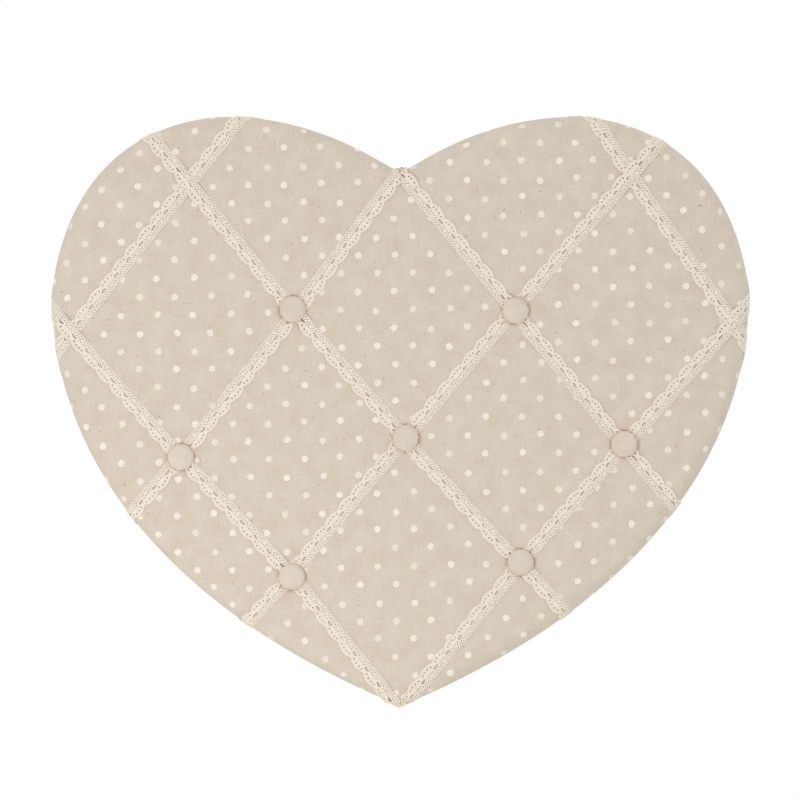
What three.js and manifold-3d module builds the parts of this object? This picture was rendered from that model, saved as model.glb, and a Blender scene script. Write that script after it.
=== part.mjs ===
// French memo board: a padded heart in dotted linen, crossed by lace ribbons and tufted with covered buttons.
// Millimetres. The pieces are drawn in plan: x to the right, y up the wall, z out of the wall to the viewer.
// Levels along z start at the back face of the lining. The finished pieces are stood up so that +Z is up.
import * as THREE from 'three';
import { mergeVertices } from 'three/addons/utils/BufferGeometryUtils.js';
import Module from 'manifold-3d';

const wasm = await Module();
wasm.setup();

// Heart outline of the finished board, with the reach of each curve handle
const heartWidth = 400;
const heartHeight = 338.5;
const notchDrop = 31.9;
const notchRise = THREE.MathUtils.degToRad(24);
const notchHandle = 12.4;
const lobeSpacing = 200;
const lobeInnerHandle = 53.8;
const lobeOuterHandle = 12;
const shoulderInset = 35;
const shoulderDrop = 24.7;
const shoulderSlope = THREE.MathUtils.degToRad(-42);
const shoulderUpperHandle = 31.6;
const shoulderLowerHandle = 40.7;
const widestDrop = 104.2;
const widestUpperHandle = 10;
const widestLowerHandle = 53;
const tipRise = THREE.MathUtils.degToRad(22.6);
const tipHandle = 190;
const stepsPerCurve = [6, 5, 6, 12];

// Layers, from the back
const liningThickness = 1;
const liningMargin = 9;
const fieldShare = 0.4;
const laceThickness = 0.6;
const clothThickness = 0.6;
const boardThickness = 4;
const padThickness = 14;
const rimRadius = 9;
const rimSteps = 2;
const hemWidth = 18;
const fitGap = 0.3;
const laceGap = 0.5;
const rimGap = 0.7;
const buttonGap = 0.4;

// Tufts and covered buttons
const tuftDepth = 5;
const tuftSeatRadius = 12.5;
const tuftShoulderRadius = 19;
const tuftShoulderDepth = 2;
const tuftRadius = 27;
const tuftRunOut = 3;
const tuftSides = 10;
const buttonDiameter = 15.3;
const buttonHeight = 5.2;
const buttonRimHeight = 1.5;
const buttonTuck = 1.15;
const shellThickness = 0.4;
const pinPlateThickness = 0.6;
const pinLegWidth = 1.6;
const pinLegThickness = 0.6;
const pinLegGap = 0.3;
const pinTailLength = 8;
const pinHoleRadius = 1.5;
const buttonSides = 12;
const holeSides = 8;
const domeSteps = 3;

// Lace ribbons
const laceWidth = 10;
const laceStraightSide = 4;
const scallopDepth = 1.8;
const scallopPitch = 10.9;
const laceTabLength = 14;
const mitreGap = 0.2;
const mitreShift = 3;
const searchHalvings = 20;

// Strap hangers with their rings and screws
const hangerSpacing = 200;
const hangerHeight = 92;
const strapWidth = 9;
const strapLength = 24;
const strapThickness = 1.6;
const strapNeck = 1.2;
const ringWire = 2;
const ringWidth = 14.4;
const ringReach = 11.5;
const ringCornerRadius = 1.6;
const ringSideLength = 2.7;
const eyeWall = 0.8;
const eyeGap = 0.3;
const ringClearance = 0.2;
const screwDrop = 17.5;
const screwHeadDiameter = 6.2;
const screwHeadHeight = 2;
const screwDiameter = 3;
const screwLength = 7.5;
const screwPointLength = 1.5;
const slotWidth = 0.8;
const slotDepth = 0.8;
const screwGap = 0.15;
const roundSides = 16;

// Levels that follow from the layers
const hemBack = liningThickness + laceThickness;
const boardBack = hemBack + clothThickness;
const boardFront = boardBack + boardThickness;
const padFront = boardFront + padThickness;
const coverFront = padFront + fitGap + clothThickness;
const buttonBase = coverFront - tuftDepth + 2 * (laceGap + laceThickness) + buttonGap;

// The pattern of buttons and ribbons is laid out over the heart: shares of its half width and half height
function layout(across, up) {
  return new THREE.Vector2((across * heartWidth) / 2, (up * heartHeight) / 2);
}

const buttonPlaces = {
  upper_left: layout(-0.309, 0.346),
  upper_right: layout(0.33, 0.342),
  middle: layout(0.0145, -0.09),
  left: layout(-0.63, -0.154),
  right: layout(0.6415, -0.11),
  lower_left: layout(-0.3115, -0.56),
  lower_right: layout(0.3445, -0.511),
};

const notch = new THREE.Vector2(0, heartHeight / 2 - notchDrop);
const tip = new THREE.Vector2(0, -heartHeight / 2);
const notchEnd = (side) => new THREE.Vector2(side * mitreShift, notch.y);
const tipEnd = (side) => new THREE.Vector2(side * mitreShift, tip.y);

// Ribbons in the order in which they are laid, each with the points and buttons that its line passes from end
// to end, and its scallops on the left (1) or right (-1) of that way. At the notch and the tip two ribbons
// meet, and each stays on its own side (keeps) of the middle of the heart.
const laceRuns = [
  { name: 'lace_top_right', line: [layout(0.56, 0.981), layout(0.6725, 0.804), layout(0.987, 0.226)],
    scallops: -1 },
  { name: 'lace_top_left', line: [layout(-0.984, 0.209), layout(-0.467, 0.983)], scallops: 1 },
  { name: 'lace_left_rising', line: [layout(-0.7575, -0.337), 'left', 'upper_left', notchEnd(-1)], scallops: -1,
    keeps: -1 },
  { name: 'lace_long_rising', line: [layout(-0.4255, -0.708), 'lower_left', 'middle', 'upper_right',
    layout(0.7455, 0.912)], scallops: 1 },
  { name: 'lace_right_rising', line: [tipEnd(1), 'lower_right', 'right', layout(0.99, 0.3445)], scallops: 1,
    keeps: 1 },
  { name: 'lace_long_falling', line: [layout(-0.714, 0.932), 'upper_left', 'middle', 'lower_right',
    layout(0.4785, -0.691)], scallops: -1 },
  { name: 'lace_left_falling', line: [layout(-0.9985, 0.317), 'left', 'lower_left', tipEnd(-1)], scallops: -1,
    keeps: -1 },
  { name: 'lace_right_falling', line: [notchEnd(1), 'upper_right', 'right', layout(0.7975, -0.328)],
    scallops: 1, keeps: 1 },
];

// Outline points, anticlockwise from the notch over the left lobe
function polar(angle, length) {
  return new THREE.Vector2(Math.cos(angle) * length, Math.sin(angle) * length);
}

function heartOutline() {
  const top = heartHeight / 2;
  const side = heartWidth / 2;
  const lobe = new THREE.Vector2(lobeSpacing / 2, top);
  const shoulder = new THREE.Vector2(side - shoulderInset, top - shoulderDrop);
  const widest = new THREE.Vector2(side, top - widestDrop);
  const curves = [
    new THREE.CubicBezierCurve(notch, polar(notchRise, notchHandle).add(notch),
      new THREE.Vector2(lobe.x - lobeInnerHandle, top), lobe),
    new THREE.CubicBezierCurve(lobe, new THREE.Vector2(lobe.x + lobeOuterHandle, top),
      polar(shoulderSlope, -shoulderUpperHandle).add(shoulder), shoulder),
    new THREE.CubicBezierCurve(shoulder, polar(shoulderSlope, shoulderLowerHandle).add(shoulder),
      new THREE.Vector2(side, widest.y + widestUpperHandle), widest),
    new THREE.CubicBezierCurve(widest, new THREE.Vector2(side, widest.y - widestLowerHandle),
      polar(tipRise, tipHandle).add(tip), tip),
  ];
  const right = [notch];
  curves.forEach((curve, i) => right.push(...curve.getSpacedPoints(stepsPerCurve[i]).slice(1)));
  const left = right.map((point) => new THREE.Vector2(-point.x, point.y));
  return [...left, ...right.slice(1, -1).reverse()];
}

const outline = heartOutline();

function inwardNormal(from, to) {
  return new THREE.Vector2(from.y - to.y, to.x - from.x).normalize();
}

// The outline moved inwards by a distance, with mitred corners
function insetOutline(distance) {
  const count = outline.length;
  return outline.map((point, i) => {
    const before = inwardNormal(outline[(i + count - 1) % count], point);
    const after = inwardNormal(point, outline[(i + 1) % count]);
    const middle = before.clone().add(after).normalize();
    return middle.multiplyScalar(distance / middle.dot(before)).add(point);
  });
}

// How far a point lies inside the outline, and the outward normal of the nearest edge
function placeInHeart(point) {
  let nearest = Infinity;
  let outward = null;
  let inside = false;
  outline.forEach((a, i) => {
    const b = outline[(i + 1) % outline.length];
    const along = b.clone().sub(a);
    const t = THREE.MathUtils.clamp(point.clone().sub(a).dot(along) / along.lengthSq(), 0, 1);
    const gap = point.distanceTo(along.multiplyScalar(t).add(a));
    if (gap < nearest) {
      nearest = gap;
      outward = inwardNormal(a, b).negate();
    }
    if (a.y > point.y !== b.y > point.y && point.x < a.x + ((point.y - a.y) / (b.y - a.y)) * (b.x - a.x)) {
      inside = !inside;
    }
  });
  return { inset: inside ? nearest : -nearest, outward };
}

// A closed mesh through rings of plan points, from the lowest level to the highest
function stackRings(rings) {
  const count = rings[0].points.length;
  const positions = [];
  rings.forEach(({ points, level }) => points.forEach((point) => positions.push(point.x, point.y, level)));
  const index = [];
  const last = (rings.length - 1) * count;
  THREE.ShapeUtils.triangulateShape(rings[0].points, []).forEach(([a, b, c]) => index.push(a, c, b));
  THREE.ShapeUtils.triangulateShape(rings[rings.length - 1].points, []).forEach(([a, b, c]) => {
    index.push(last + a, last + b, last + c);
  });
  for (let ring = 0; ring < rings.length - 1; ring += 1) {
    for (let i = 0; i < count; i += 1) {
      const a = ring * count + i;
      const b = ring * count + ((i + 1) % count);
      index.push(a, b, b + count, a, b + count, a + count);
    }
  }
  return meshOf(positions, index);
}

function meshOf(positions, index) {
  const geometry = new THREE.BufferGeometry();
  geometry.setAttribute('position', new THREE.Float32BufferAttribute(positions, 3));
  geometry.setIndex(index);
  return geometry;
}

// Solids for joining and cutting, and back to meshes
function solidOf(geometry) {
  const bare = geometry.clone();
  bare.deleteAttribute('normal');
  bare.deleteAttribute('uv');
  const merged = mergeVertices(bare);
  return new wasm.Manifold(new wasm.Mesh({
    numProp: 3,
    vertProperties: new Float32Array(merged.attributes.position.array),
    triVerts: new Uint32Array(merged.index.array),
  }));
}

function geometryOf(solid) {
  const mesh = solid.getMesh();
  return meshOf(Array.from(mesh.vertProperties), Array.from(mesh.triVerts));
}

function drum(radius, low, high, x, y, sides) {
  const geometry = new THREE.CylinderGeometry(radius, radius, high - low, sides);
  geometry.rotateX(Math.PI / 2);
  return solidOf(geometry.translate(x, y, (low + high) / 2));
}

function spun(profile, place, level, sides) {
  const geometry = new THREE.LatheGeometry(profile.map(([r, h]) => new THREE.Vector2(r, h)), sides);
  geometry.rotateX(Math.PI / 2);
  return geometry.translate(place.x, place.y, level);
}

// A quarter of an ellipse, from its rim up (or down) to the axis
function domeProfile(radius, base, rise) {
  const points = [];
  for (let step = 0; step <= domeSteps; step += 1) {
    const angle = (Math.PI / 2) * (step / domeSteps);
    points.push([step < domeSteps ? radius * Math.cos(angle) : 0, base + rise * Math.sin(angle)]);
  }
  return points;
}

function block(lowX, highX, lowY, highY, low, high) {
  const geometry = new THREE.BoxGeometry(highX - lowX, highY - lowY, high - low);
  return solidOf(geometry.translate((lowX + highX) / 2, (lowY + highY) / 2, (low + high) / 2));
}

// Hearts: a flat plate, and a cushion whose front edge is rounded and whose front is drawn in at each button
function heartPlate(inset, back, front) {
  const points = insetOutline(inset);
  return solidOf(stackRings([{ points, level: back }, { points, level: front }]));
}

function tuftedHeart(inset, back, front) {
  const radius = rimRadius - inset;
  const rings = [{ points: insetOutline(inset), level: back }];
  for (let step = 0; step <= rimSteps; step += 1) {
    const angle = (Math.PI / 2) * (step / rimSteps);
    const points = insetOutline(inset + radius * (1 - Math.cos(angle)));
    rings.push({ points, level: front - radius * (1 - Math.sin(angle)) });
  }
  const outerSlope = tuftShoulderDepth / (tuftRadius - tuftShoulderRadius);
  const profile = [
    [0, -tuftDepth],
    [tuftSeatRadius, -tuftDepth],
    [tuftShoulderRadius, -tuftShoulderDepth],
    [tuftRadius + tuftRunOut, tuftRunOut * outerSlope],
    [0, tuftDepth],
  ];
  return Object.values(buttonPlaces).reduce(
    (heart, place) => heart.subtract(solidOf(spun(profile, place, front, tuftSides))),
    solidOf(stackRings(rings)),
  );
}

function withButtonHoles(solid) {
  return Object.values(buttonPlaces).reduce(
    (left, { x, y }) => left.subtract(drum(pinHoleRadius, -coverFront, 2 * coverFront, x, y, holeSides)),
    solid,
  );
}

const hangerSides = { left: -1, right: 1 };

function hangerPlace(side) {
  return new THREE.Vector2((hangerSides[side] * hangerSpacing) / 2, hangerHeight);
}

// Board, padding, cover and lining
function makeBoard() {
  const plate = withButtonHoles(heartPlate(clothThickness + fitGap, boardBack, boardFront));
  const radius = screwDiameter / 2 + screwGap;
  return Object.keys(hangerSides).reduce((board, side) => {
    const { x, y } = hangerPlace(side);
    return board.subtract(drum(radius, 0, 2 * coverFront, x, y - screwDrop, roundSides));
  }, plate);
}

function makePad() {
  return withButtonHoles(tuftedHeart(clothThickness + fitGap, boardFront, padFront));
}

function makeCover() {
  const skin = tuftedHeart(0, hemBack, coverFront);
  const hollow = tuftedHeart(clothThickness, boardBack, coverFront - clothThickness);
  const opening = heartPlate(hemWidth, 0, boardBack + clothThickness);
  return withButtonHoles(skin.subtract(hollow).subtract(opening));
}

// The lining is a flat plate with two screw holes. The middle of its faces is meshed as a field of its own,
// so that no triangle runs from the middle to under a hanger.
function makeLining() {
  const edge = insetOutline(liningMargin);
  const field = outline.map((point) => point.clone().multiplyScalar(fieldShare));
  const radius = screwDiameter / 2 + screwGap;
  const clockwise = true;
  const holes = Object.keys(hangerSides).map((side) => {
    const { x, y } = hangerPlace(side);
    const circle = new THREE.EllipseCurve(x, y - screwDrop, radius, radius, 0, 2 * Math.PI, clockwise);
    return circle.getPoints(roundSides).slice(1);
  });
  const points = [edge, ...holes, field].flat();
  const count = points.length;
  const positions = [0, liningThickness].flatMap((level) => points.flatMap(({ x, y }) => [x, y, level]));
  const index = [];
  const addFaces = ([a, b, c]) => index.push(a, c, b, count + a, count + b, count + c);
  THREE.ShapeUtils.triangulateShape(edge, [...holes, field]).forEach(addFaces);
  const fieldStart = count - field.length;
  THREE.ShapeUtils.triangulateShape(field, []).forEach((face) => addFaces(face.map((i) => i + fieldStart)));
  let start = 0;
  [edge, ...holes].forEach((loop) => {
    loop.forEach((_, i) => {
      const a = start + i;
      const b = start + ((i + 1) % loop.length);
      index.push(a, b, b + count, a, b + count, a + count);
    });
    start += loop.length;
  });
  return meshOf(positions, index);
}

// Lace: a flat ribbon laid on the cover and on the ribbons already there, turned over the rim at both ends
const lookDown = new THREE.Vector3(0, 0, -1);

function topLevel(point, meshes) {
  const ray = new THREE.Raycaster(new THREE.Vector3(point.x, point.y, 2 * coverFront), lookDown);
  const hit = ray.intersectObjects(meshes)[0];
  return hit ? hit.point.z : -Infinity;
}

function makeLace(run, cover, below) {
  const line = new THREE.SplineCurve(run.line.map((point) => buttonPlaces[point] ?? point));
  const length = line.getLength();

  function keepSide(point) {
    if (run.keeps === 1) point.x = Math.max(point.x, mitreGap);
    if (run.keeps === -1) point.x = Math.min(point.x, -mitreGap);
    return point;
  }

  // A point of the ribbon by its distance along the line, which runs on straight past both ends
  function planPoint(distance, offset) {
    const share = THREE.MathUtils.clamp(distance / length, 0, 1);
    const way = line.getTangentAt(share);
    const point = line.getPointAt(share).addScaledVector(way, distance - share * length);
    return keepSide(point.addScaledVector(new THREE.Vector2(-way.y, way.x), offset));
  }

  // Where the ribbon's edge comes out to a given inset, going from the middle to one end
  function reachInset(offset, inset, direction) {
    let near = length / 2;
    let far = near;
    while (placeInHeart(planPoint(far, offset)).inset > inset) {
      near = far;
      far += direction;
    }
    for (let halving = 0; halving < searchHalvings; halving += 1) {
      const middle = (near + far) / 2;
      if (placeInHeart(planPoint(middle, offset)).inset > inset) near = middle;
      else far = middle;
    }
    return near;
  }

  function restLevel(distance, offset, near) {
    const onCover = topLevel(planPoint(distance, offset), [cover]) + laceGap;
    const spots = near.flatMap((spot) => [straight, 0, peak].map(
      (across) => topLevel(planPoint(spot, across), below)));
    const onLace = Math.max(...spots) + laceGap;
    return { level: Math.max(onCover, onLace), lift: Math.max(0, onLace - onCover) };
  }

  const straight = -run.scallops * laceStraightSide;
  const peak = run.scallops * (laceWidth - laceStraightSide);
  const valley = run.scallops * (laceWidth - laceStraightSide - scallopDepth);
  const rimAngles = [];
  for (let step = rimSteps - 1; step >= 0; step -= 1) rimAngles.push((Math.PI / 2) * (step / rimSteps));

  // All edges share the stations from first to last. From there each runs on to its own place on the rim.
  const across = [straight, 0, valley];
  const first = Math.max(...across.map((offset) => reachInset(offset, rimRadius, -1))) + scallopPitch / 2;
  const last = Math.min(...across.map((offset) => reachInset(offset, rimRadius, 1))) - scallopPitch / 2;
  const steps = 2 * Math.round((last - first) / scallopPitch);

  // One edge of the ribbon where it lies on the front
  function edgeFront(low, high) {
    const start = reachInset(low, rimRadius, -1);
    const end = reachInset(low, rimRadius, 1);
    const stations = [start, (start + first) / 2];
    for (let i = 0; i <= steps; i += 1) stations.push(first + (last - first) * (i / steps));
    stations.push((last + end) / 2, end);
    return stations.map((distance, i) => {
      const before = stations[Math.max(i - 1, 0)];
      const after = stations[Math.min(i + 1, stations.length - 1)];
      const near = [before, (before + distance) / 2, distance, (distance + after) / 2, after];
      const offset = i % 2 ? high : low;
      return { place: planPoint(distance, offset), ...restLevel(distance, offset, near) };
    });
  }

  // Its turn over the rim, down the side and under the hem at one end, lifted over any ribbon below
  function edgeTurn(offset, direction, lift) {
    const moved = (place, outward, reach, level) => {
      const { x, y } = keepSide(outward.clone().multiplyScalar(reach).add(place));
      return new THREE.Vector3(x, y, level);
    };
    const rim = rimAngles.map((angle) => {
      const inset = rimRadius * (1 - Math.cos(angle));
      const place = planPoint(reachInset(offset, inset, direction), offset);
      const { outward } = placeInHeart(place);
      const level = coverFront - rimRadius * (1 - Math.sin(angle));
      const [inner, outer] = [rimGap + lift, rimGap + lift + laceThickness].map(
        (gap) => moved(place, outward, Math.cos(angle) * gap, level + Math.sin(angle) * gap));
      return { inner, outer };
    });
    const foot = planPoint(reachInset(offset, 0, direction), offset);
    const { outward } = placeInHeart(foot);
    const tabEnd = keepSide(foot.clone().setLength(foot.length() - laceTabLength));
    const corner = {
      inner: moved(foot, outward, rimGap, hemBack),
      outer: moved(foot, outward, rimGap + laceThickness, hemBack - laceThickness),
    };
    const tab = {
      inner: new THREE.Vector3(tabEnd.x, tabEnd.y, hemBack),
      outer: new THREE.Vector3(tabEnd.x, tabEnd.y, hemBack - laceThickness),
    };
    return [...rim, corner, tab];
  }

  const edges = [[straight, straight], [0, 0], [valley, peak]];
  const fronts = edges.map(([low, high]) => edgeFront(low, high));
  const startLift = Math.max(...fronts.flatMap((front) => front.slice(0, 2).map(({ lift }) => lift)));
  const endLift = Math.max(...fronts.flatMap((front) => front.slice(-2).map(({ lift }) => lift)));
  const columns = fronts.map((front, column) => {
    const laid = front.map(({ place, level, lift }, i) => {
      const endRise = i < 2 ? startLift : i >= front.length - 2 ? endLift : 0;
      const inner = new THREE.Vector3(place.x, place.y, level + Math.max(0, endRise - lift));
      return { inner, outer: inner.clone().setZ(inner.z + laceThickness) };
    });
    const [offset] = edges[column];
    return [...edgeTurn(offset, -1, startLift).reverse(), ...laid, ...edgeTurn(offset, 1, endLift)];
  });
  if (run.scallops < 0) columns.reverse();
  const rings = columns[0].map((_, i) => [
    ...columns.map((column) => column[i].inner),
    ...columns.map((column) => column[i].outer).reverse(),
  ]);
  const corners = 2 * columns.length;
  const final = (rings.length - 1) * corners;
  const index = [];
  for (let i = 0; i < columns.length - 1; i += 1) {
    const [a, b, c, d] = [i, i + 1, corners - 2 - i, corners - 1 - i];
    index.push(a, c, b, a, d, c);
    index.push(final + a, final + b, final + c, final + a, final + c, final + d);
  }
  for (let i = 0; i < rings.length - 1; i += 1) {
    for (let corner = 0; corner < corners; corner += 1) {
      const a = i * corners + corner;
      const b = i * corners + ((corner + 1) % corners);
      index.push(a, b + corners, a + corners, a, b, b + corners);
    }
  }
  const positions = rings.flat().flatMap((point) => point.toArray());
  const held = run.line.filter((point) => point in buttonPlaces);
  return held.reduce((lace, key) => {
    const { x, y } = buttonPlaces[key];
    return lace.subtract(drum(pinHoleRadius, boardFront, 2 * coverFront, x, y, holeSides));
  }, solidOf(meshOf(positions, index)));
}

// Covered button: a linen cap drawn over a pressed shell, and a back plate whose two legs hold it
function makeButtonCap(place) {
  const radius = buttonDiameter / 2;
  const tuck = radius - buttonTuck;
  const rise = buttonHeight - buttonRimHeight;
  const profile = [
    ...domeProfile(radius - clothThickness, buttonRimHeight, rise - clothThickness).reverse(),
    [tuck, clothThickness],
    [tuck, 0],
    ...domeProfile(radius, buttonRimHeight, rise),
  ];
  return spun(profile, place, buttonBase, buttonSides);
}

function makeButtonShell(place) {
  const radius = buttonDiameter / 2 - clothThickness - fitGap;
  const rise = buttonHeight - buttonRimHeight - clothThickness - fitGap;
  const profile = [
    ...domeProfile(radius - shellThickness, buttonRimHeight, rise - shellThickness).reverse(),
    ...domeProfile(radius, buttonRimHeight, rise),
  ];
  return spun(profile, place, buttonBase, buttonSides);
}

function makeButtonPin({ x, y }) {
  const plateRadius = buttonDiameter / 2 - buttonTuck - fitGap;
  const plate = drum(plateRadius, buttonBase, buttonBase + pinPlateThickness, x, y, buttonSides);
  const tailTop = boardBack - fitGap / 2;
  const tailBottom = tailTop - pinLegThickness;
  const half = pinLegWidth / 2;
  return [-1, 1].reduce((pin, side) => {
    const near = (side * pinLegGap) / 2;
    const leg = near + side * pinLegThickness;
    const tail = side * pinTailLength;
    const [legLow, legHigh] = [near, leg].sort((a, b) => a - b);
    const [tailLow, tailHigh] = [near, tail].sort((a, b) => a - b);
    return pin
      .add(block(x + legLow, x + legHigh, y - half, y + half, tailBottom, buttonBase + pinPlateThickness / 2))
      .add(block(x + tailLow, x + tailHigh, y - half, y + half, tailBottom, tailTop));
  }, plate);
}

// Strap hanger: a strap folded round the straight side of a D-ring and screwed through the lining
const eyeInner = ringWire / 2 + eyeGap;
const eyeOuter = eyeInner + eyeWall;
const ringLevel = -(strapThickness + ringWire / 2 + ringClearance);

function makeStrap(place) {
  const half = strapWidth / 2;
  const shape = new THREE.Shape();
  shape.moveTo(half, strapNeck);
  shape.lineTo(-half, strapNeck);
  shape.lineTo(-half, half - strapLength);
  shape.absarc(0, half - strapLength, half, Math.PI, 2 * Math.PI);
  shape.closePath();
  const plate = new THREE.ExtrudeGeometry(shape, {
    depth: strapThickness, bevelEnabled: false, curveSegments: roundSides / 2,
  });
  plate.translate(place.x, place.y, -strapThickness);
  const barrel = (radius, width) => {
    const geometry = new THREE.CylinderGeometry(radius, radius, width, roundSides);
    geometry.rotateZ(Math.PI / 2);
    return solidOf(geometry.translate(place.x, place.y, ringLevel));
  };
  return solidOf(plate)
    .add(barrel(eyeOuter, strapWidth))
    .subtract(barrel(eyeInner, 2 * strapWidth))
    .subtract(drum(screwDiameter / 2 + screwGap, -coverFront, 0, place.x, place.y - screwDrop, roundSides));
}

function makeRing(place) {
  const half = ringWidth / 2 - ringWire / 2;
  const low = -(ringReach - ringWire / 2);
  const at = (x, y) => new THREE.Vector3(x, y, 0);
  const path = new THREE.CurvePath();
  const bar = half - ringCornerRadius;
  const shoulder = -ringCornerRadius;
  const bow = shoulder - ringSideLength;
  path.add(new THREE.LineCurve3(at(-bar, 0), at(bar, 0)));
  path.add(new THREE.QuadraticBezierCurve3(at(bar, 0), at(half, 0), at(half, shoulder)));
  path.add(new THREE.LineCurve3(at(half, shoulder), at(half, bow)));
  path.add(new THREE.QuadraticBezierCurve3(at(half, bow), at(half, low), at(0, low)));
  path.add(new THREE.QuadraticBezierCurve3(at(0, low), at(-half, low), at(-half, bow)));
  path.add(new THREE.LineCurve3(at(-half, bow), at(-half, shoulder)));
  path.add(new THREE.QuadraticBezierCurve3(at(-half, shoulder), at(-half, 0), at(-bar, 0)));
  const closed = true;
  const geometry = new THREE.TubeGeometry(path, 2 * roundSides, ringWire / 2, roundSides / 2, closed);
  return geometry.translate(place.x, place.y, ringLevel);
}

function makeScrew(place) {
  const head = screwHeadDiameter / 2;
  const shank = screwDiameter / 2;
  const seat = -strapThickness - screwGap;
  const profile = [
    [0, seat + screwLength],
    [shank, seat + screwLength - screwPointLength],
    [shank, seat],
    ...domeProfile(head, seat, -screwHeadHeight),
  ];
  const centre = new THREE.Vector2(place.x, place.y - screwDrop);
  const slot = [-slotWidth / 2, slotWidth / 2];
  return solidOf(spun(profile.reverse(), centre, 0, roundSides)).subtract(block(
    centre.x - head, centre.x + head, centre.y + slot[0], centre.y + slot[1],
    seat - screwHeadHeight - slotDepth, seat - screwHeadHeight + slotDepth));
}

// Finishes
const linen = { color: 0xd8ccba, roughness: 0.95, metalness: 0 };
const cotton = { color: 0xece2d0, roughness: 0.95, metalness: 0 };
const wadding = { color: 0xf2f1ec, roughness: 1, metalness: 0 };
const fibreboard = { color: 0xa98a62, roughness: 0.9, metalness: 0 };
const card = { color: 0xcdbfa6, roughness: 0.9, metalness: 0 };
const tinplate = { color: 0xb9b9b4, roughness: 0.4, metalness: 1 };
const nickel = { color: 0xc9c6bd, roughness: 0.3, metalness: 1 };

// Assembly, stood up on its tip: plan y becomes +Z and the front faces -Y
const memoBoard = new THREE.Group();
const standUp = new THREE.Matrix4().set(1, 0, 0, 0, 0, 0, -1, 0, 0, 1, 0, 0, 0, 0, 0, 1);

function addPiece(name, shape, finish) {
  const geometry = shape.isBufferGeometry ? shape : geometryOf(shape);
  const piece = new THREE.Mesh(geometry.clone().applyMatrix4(standUp), new THREE.MeshStandardMaterial(finish));
  piece.name = name;
  memoBoard.add(piece);
  return geometry;
}

addPiece('backing_board', makeBoard(), fibreboard);
addPiece('padding', makePad(), wadding);
addPiece('linen_cover', makeCover(), linen);
addPiece('back_lining', makeLining(), card);

const coverTarget = new THREE.Mesh(geometryOf(tuftedHeart(0, hemBack, coverFront)));
const laidLaces = [];
laceRuns.forEach((run) => {
  const geometry = addPiece(run.name, makeLace(run, coverTarget, laidLaces), cotton);
  laidLaces.push(new THREE.Mesh(geometry));
});

Object.entries(buttonPlaces).forEach(([key, place]) => {
  addPiece(`button_cap_${key}`, makeButtonCap(place), linen);
  addPiece(`button_shell_${key}`, makeButtonShell(place), tinplate);
  addPiece(`button_pin_${key}`, makeButtonPin(place), tinplate);
});

Object.keys(hangerSides).forEach((side) => {
  addPiece(`hanger_strap_${side}`, makeStrap(hangerPlace(side)), nickel);
  addPiece(`hanger_ring_${side}`, makeRing(hangerPlace(side)), nickel);
  addPiece(`hanger_screw_${side}`, makeScrew(hangerPlace(side)), nickel);
});

export default memoBoard;
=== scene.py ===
import math

import bmesh
import bpy
import numpy as np
from mathutils import Matrix, Vector, geometry
from mathutils.bvhtree import BVHTree


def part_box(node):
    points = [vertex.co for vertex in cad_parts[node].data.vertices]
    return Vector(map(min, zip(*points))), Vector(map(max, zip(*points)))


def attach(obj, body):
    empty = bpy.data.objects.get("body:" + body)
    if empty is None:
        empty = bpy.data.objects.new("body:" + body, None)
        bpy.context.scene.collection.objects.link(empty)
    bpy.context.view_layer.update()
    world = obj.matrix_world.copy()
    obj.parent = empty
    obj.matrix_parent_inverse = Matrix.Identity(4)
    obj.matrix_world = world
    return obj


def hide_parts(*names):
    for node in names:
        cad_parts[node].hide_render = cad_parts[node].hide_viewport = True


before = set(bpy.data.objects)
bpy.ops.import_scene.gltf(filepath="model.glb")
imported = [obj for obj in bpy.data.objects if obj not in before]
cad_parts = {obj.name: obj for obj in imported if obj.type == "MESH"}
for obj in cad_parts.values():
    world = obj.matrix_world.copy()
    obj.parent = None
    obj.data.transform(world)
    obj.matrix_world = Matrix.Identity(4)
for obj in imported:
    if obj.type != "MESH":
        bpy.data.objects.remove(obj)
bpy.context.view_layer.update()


# Backing board
# A sheet of plain fibreboard sawn to the heart. The wadding and the linen are wrapped round it and the
# buttons are pinned through it. The lining hides it from behind.
mm = 0.001
fibre_grain = (900, 900, 900)
fibre_relief = 0.1 * mm


def srgb(red, green, blue):
    def linear(level):
        share = level / 255
        return share / 12.92 if share <= 0.04045 else ((share + 0.055) / 1.055) ** 2.4
    return (linear(red), linear(green), linear(blue), 1.0)


def add_node(tree, kind, inputs=None, **settings):
    """A node with its settings, and its inputs either set to a value or linked from another node."""
    node = tree.nodes.new(kind)
    for key, value in settings.items():
        setattr(node, key, value)
    for key, value in (inputs or {}).items():
        if isinstance(value, bpy.types.NodeSocket):
            tree.links.new(value, node.inputs[key])
        else:
            node.inputs[key].default_value = value
    return node


def new_finish(name, roughness):
    material = bpy.data.materials.new(name)
    material.use_nodes = True
    tree = material.node_tree
    shader = tree.nodes["Principled BSDF"]
    shader.inputs["Roughness"].default_value = roughness
    return material, tree, shader


def vectors(tree, operation, first, second):
    """One step of reckoning with vectors. The second value of SCALE is a plain number."""
    key = "Scale" if operation == "SCALE" else 1
    node = add_node(tree, "ShaderNodeVectorMath", {0: first, key: second}, operation=operation)
    return node.outputs["Value" if operation == "DOT_PRODUCT" else 0]


def grain(tree, coordinates, per_metre, detail):
    """Noise with its own number of grains per metre along each axis."""
    spread = vectors(tree, "MULTIPLY", coordinates, per_metre)
    return add_node(tree, "ShaderNodeTexNoise", {"Vector": spread, "Scale": 1.0, "Detail": detail}).outputs[0]


def mix_colours(tree, share, first, second):
    return add_node(tree, "ShaderNodeMix", {0: share, 6: first, 7: second}, data_type="RGBA").outputs[2]


def ramp(tree, value, low, high):
    """0 below low, 1 above high and a smooth step between."""
    inputs = {"Value": value, "From Min": low, "From Max": high}
    return add_node(tree, "ShaderNodeMapRange", inputs, interpolation_type="SMOOTHSTEP").outputs[0]


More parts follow.
